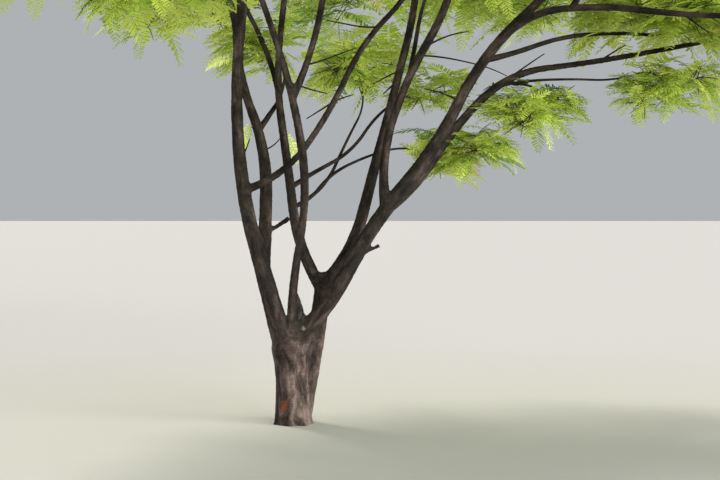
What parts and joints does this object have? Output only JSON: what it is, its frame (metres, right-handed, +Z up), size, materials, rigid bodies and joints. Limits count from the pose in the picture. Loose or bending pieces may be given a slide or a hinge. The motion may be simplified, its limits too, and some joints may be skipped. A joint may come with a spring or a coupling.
{
  "type": "flame tree",
  "caption": "Young open-grown flame tree rooted in the ground: short forked trunk, long leaning boughs and a flat spreading crown of feathery leaves, to stand on open land.",
  "frame": {"origin": "middle of the front stem's flat cut at ground level, the mount named ground", "axes": "+Z up, +X to the right along the low boughs that reach out over the open side, +Y away from whoever looks at the front"},
  "size_m": [7.0696, 6.4192, 4.7335],
  "materials": {
    "bark": "grey-brown bark, matte, finely ringed",
    "leaves": "yellow-green leaflets, soft sheen"
  },
  "bodies": {
    "root": {"trunk": "bark", "left_bough": "bark", "left_bough_leaves": "leaves", "front_bough": "bark", "front_bough_leaves": "leaves", "right_bough": "bark", "right_bough_leaves": "leaves", "rear_bough": "bark", "rear_bough_leaves": "leaves", "rear_left_bough": "bark", "rear_left_bough_leaves": "leaves", "left_inner_bough": "bark", "left_inner_bough_leaves": "leaves", "left_inner_fork": "bark", "left_inner_fork_leaves": "leaves", "front_upright_fork": "bark", "front_upright_fork_leaves": "leaves", "crossing_bough": "bark", "crossing_bough_leaves": "leaves", "rear_left_fork": "bark", "rear_left_fork_leaves": "leaves", "right_upright_bough": "bark", "right_upright_bough_leaves": "leaves", "right_low_bough": "bark", "right_low_bough_leaves": "leaves", "right_arching_bough": "bark", "right_arching_bough_leaves": "leaves", "right_middle_bough": "bark", "right_middle_bough_leaves": "leaves", "upright_fork": "bark", "upright_fork_leaves": "leaves", "slanting_branch": "bark", "slanting_branch_leaves": "leaves", "low_rear_branch": "bark", "low_rear_branch_leaves": "leaves", "underside_branch": "bark", "underside_branch_leaves": "leaves", "thin_right_branch": "bark", "thin_right_branch_leaves": "leaves", "hanging_branch": "bark", "hanging_branch_leaves": "leaves", "left_outer_bough": "bark", "left_outer_bough_leaves": "leaves", "left_hanging_branch": "bark", "left_hanging_branch_leaves": "leaves", "left_rear_bough": "bark", "left_rear_bough_leaves": "leaves", "front_outer_bough": "bark", "front_outer_bough_leaves": "leaves", "front_right_bough": "bark", "front_right_bough_leaves": "leaves", "right_front_bough": "bark", "right_front_bough_leaves": "leaves", "rear_right_bough": "bark", "rear_right_bough_leaves": "leaves", "rear_outer_bough": "bark", "rear_outer_bough_leaves": "leaves", "rear_left_outer_bough": "bark", "rear_left_outer_bough_leaves": "leaves"}
  },
  "joints": []
}
